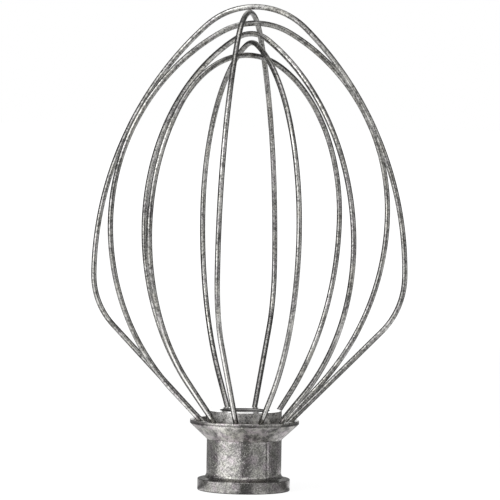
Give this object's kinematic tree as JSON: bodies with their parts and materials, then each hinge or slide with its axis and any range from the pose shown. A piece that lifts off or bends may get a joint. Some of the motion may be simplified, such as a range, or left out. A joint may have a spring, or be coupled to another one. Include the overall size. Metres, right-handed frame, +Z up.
{
  "type": "stand mixer wire whip",
  "caption": "Balloon-shaped wire whip for a stand mixer: bent spring wires cross at the crown and are held in a cast metal hub that slides on the mixer's shaft.",
  "frame": {"origin": "centre of the shaft socket's mouth, in the plane of the mouth ring's face", "axes": "+Z up the whip's axis from the hub to the crown, -Y towards the viewer of the picture"},
  "size_m": [0.1147, 0.113, 0.1762],
  "materials": {
    "hub_metal": "burnished casting",
    "cap_metal": "turned and burnished",
    "wire_steel": "drawn stainless wire"
  },
  "bodies": {
    "root": {"hub": "hub_metal", "retainer_cap": "cap_metal", "wire_loop_1": "wire_steel", "wire_loop_2": "wire_steel", "wire_loop_3": "wire_steel", "wire_loop_4": "wire_steel", "wire_loop_5": "wire_steel", "wire_loop_6": "wire_steel"}
  },
  "joints": []
}
